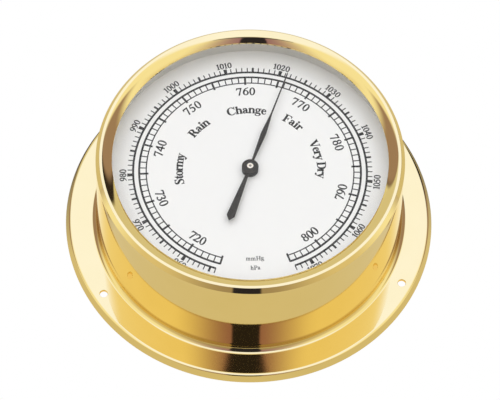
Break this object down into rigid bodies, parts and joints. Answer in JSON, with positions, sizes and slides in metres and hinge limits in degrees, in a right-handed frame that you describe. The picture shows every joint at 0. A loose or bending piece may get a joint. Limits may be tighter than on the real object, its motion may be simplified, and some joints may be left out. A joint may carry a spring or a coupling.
{
  "type": "aneroid barometer",
  "caption": "Ship's-style aneroid barometer: polished case with a flat mounting flange, rolled bezel over glass, white printed dial, lance pointer and a lever-and-gear movement.",
  "frame": {"origin": "centre of the flange's back rim, on the dial's axis", "axes": "+Z out of the dial, +Y towards twelve o'clock, which is up on a wall, +X towards three o'clock"},
  "size_m": [0.11, 0.11, 0.0361],
  "materials": {
    "case_brass": "polished and lacquered",
    "clear_glass": "clear, flat",
    "grey_gasket": "matt",
    "grey_paint": "matt",
    "dial_white": "matt enamel",
    "black_plastic": "matt",
    "back_black": "fine satin paint",
    "screw_steel": "nickel plated",
    "movement_brass": "fine brushed",
    "bronze_bush": "turned",
    "pivot_steel": "turned and polished",
    "bimetal": "rolled",
    "capsule_metal": "pressed, satin",
    "spring_bronze": "rolled strip",
    "pointer_black": "matt, finely grained",
    "bright_nickel": "polished"
  },
  "bodies": {
    "case": {"adjuster_bush": "movement_brass", "arbor_bushes": "bronze_bush", "back_cover": "back_black", "bezel_ring": "case_brass", "bridge_pillars": "movement_brass", "bridge_plate": "movement_brass", "bridge_screws": "screw_steel", "case_lugs": "movement_brass", "case_shell": "case_brass", "cover_screws": "screw_steel", "dial_bush": "black_plastic", "dial_pillar_screws": "screw_steel", "dial_pillars": "movement_brass", "dial_plate": "dial_white", "dial_spacer_ring": "grey_paint", "glass": "clear_glass", "glass_gasket": "grey_gasket", "hairspring": "spring_bronze", "hairspring_stud": "movement_brass", "lower_diaphragm": "capsule_metal", "lower_gear_plate": "movement_brass", "lower_pillar_screws": "screw_steel", "lower_pillars": "movement_brass", "movement_base_plate": "movement_brass", "movement_posts": "movement_brass", "movement_screws": "screw_steel", "rocker_brackets": "movement_brass", "sector_bushes": "bronze_bush"},
    "pointer": {"pointer": "pointer_black", "pointer_hub": "pointer_black", "pointer_collet": "bright_nickel", "pointer_arbor": "pivot_steel", "pinion": "pivot_steel", "hairspring_collet": "movement_brass"},
    "sector": {"sector_gear": "movement_brass", "sector_arbor": "pivot_steel", "tail_pin": "pivot_steel", "sector_counterweight": "movement_brass"},
    "rocker": {"rocking_shaft": "pivot_steel", "short_arm": "pivot_steel", "bimetal_arm": "bimetal"},
    "link": {"link_rod": "pivot_steel"},
    "capsule_top": {"upper_diaphragm": "capsule_metal", "capsule_post": "movement_brass"},
    "adjuster": {"adjusting_screw": "pivot_steel"}
  },
  "joints": [
    {"name": "capsule_travel", "type": "slide", "parent": "case", "child": "capsule_top", "axis": [0, 0, -1], "range_m": [-0.00058, 0.00044], "stiffness_N_per_m": 8000, "deforming": ["upper_diaphragm"]},
    {"name": "rocker_tilt", "type": "hinge", "parent": "case", "child": "rocker", "pos_m": [0, -0.002, 0.0165], "axis": [-1, 0, 0], "range_deg": [-17, 13]},
    {"name": "link_slide", "type": "slide", "parent": "case", "child": "link", "axis": [0, 1, 0], "range_m": [-0.0013, 0.001]},
    {"name": "sector_swing", "type": "hinge", "parent": "case", "child": "sector", "pos_m": [0.0135, 0.00949, 0.0225], "axis": [0, 0, -1], "range_deg": [-15, 19]},
    {"name": "pointer_spin", "type": "hinge", "parent": "case", "child": "pointer", "pos_m": [0, 0, 0.03], "axis": [0, 0, -1], "range_deg": [-186, 142]},
    {"name": "adjuster_turn", "type": "hinge", "parent": "case", "child": "adjuster", "pos_m": [0, 0, 0.001], "axis": [0, 0, 1], "range_deg": [-180, 180]}
  ],
  "couplings": [
    {"joint": "rocker_tilt", "follows": "capsule_travel", "rad_per_m": 500},
    {"joint": "link_slide", "follows": "capsule_travel", "ratio": 2.25},
    {"joint": "sector_swing", "follows": "capsule_travel", "rad_per_m": -562.5},
    {"joint": "pointer_spin", "follows": "capsule_travel", "rad_per_m": 5625}
  ]
}
